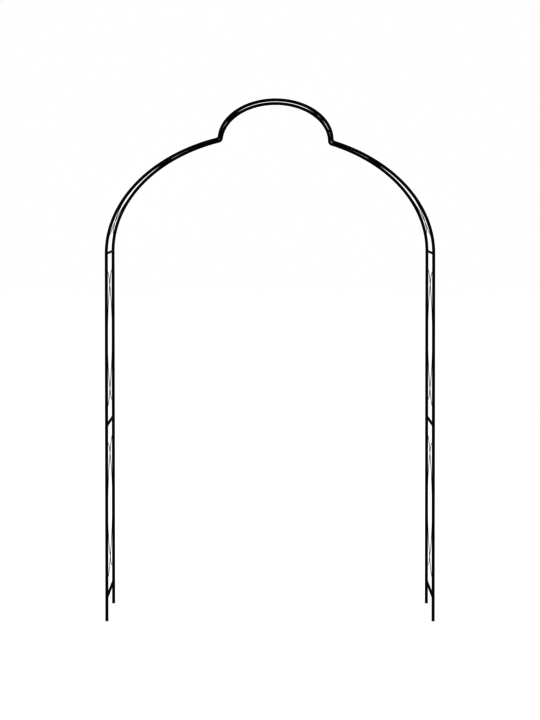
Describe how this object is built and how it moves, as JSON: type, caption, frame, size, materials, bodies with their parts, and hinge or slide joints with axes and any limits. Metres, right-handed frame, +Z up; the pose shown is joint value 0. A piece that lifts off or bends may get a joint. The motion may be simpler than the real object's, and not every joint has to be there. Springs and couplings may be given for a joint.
{
  "type": "metal trellis arch",
  "caption": "Free-standing garden arch in slim black steel tube: round shoulders, a small raised crown, and panels of rungs with crossing bent wires.",
  "frame": {"origin": "on the ground, at the centre of the four feet", "axes": "+Z up; X across the walkway, +X to the right seen from the front; +Y along the walkway, from the front hoop to the rear hoop"},
  "size_m": [1.513, 0.4178, 2.4],
  "materials": {
    "coated_tube": "black powder-coated steel tube, satin with a fine orange peel",
    "coated_wire": "black powder-coated steel wire, satin",
    "coated_screw": "black zinc-plated and painted self-tapping screw, satin"
  },
  "bodies": {
    "root": {"crown_front_scroll": "coated_wire", "crown_joint_screws": "coated_screw", "crown_rear_scroll": "coated_wire", "front_crown_tube": "coated_tube", "front_left_lower_upright": "coated_tube", "front_left_shoulder_tube": "coated_tube", "front_left_upper_upright": "coated_tube", "front_right_lower_upright": "coated_tube", "front_right_shoulder_tube": "coated_tube", "front_right_upper_upright": "coated_tube", "left_bottom_rung": "coated_tube", "left_crown_rung": "coated_tube", "left_lower_front_scroll": "coated_wire", "left_lower_rear_scroll": "coated_wire", "left_middle_rung": "coated_tube", "left_shoulder_front_scroll": "coated_wire", "left_shoulder_rear_scroll": "coated_wire", "left_shoulder_rung": "coated_tube", "left_spring_rung": "coated_tube", "left_upper_front_scroll": "coated_wire", "left_upper_rear_scroll": "coated_wire", "rear_crown_tube": "coated_tube", "rear_left_lower_upright": "coated_tube", "rear_left_shoulder_tube": "coated_tube", "rear_left_upper_upright": "coated_tube", "rear_right_lower_upright": "coated_tube", "rear_right_shoulder_tube": "coated_tube", "rear_right_upper_upright": "coated_tube", "right_bottom_rung": "coated_tube", "right_crown_rung": "coated_tube", "right_lower_front_scroll": "coated_wire", "right_lower_rear_scroll": "coated_wire", "right_middle_rung": "coated_tube", "right_shoulder_front_scroll": "coated_wire", "right_shoulder_rear_scroll": "coated_wire", "right_shoulder_rung": "coated_tube", "right_spring_rung": "coated_tube", "right_upper_front_scroll": "coated_wire", "right_upper_rear_scroll": "coated_wire", "spring_joint_screws": "coated_screw", "upright_joint_screws": "coated_screw"}
  },
  "joints": []
}
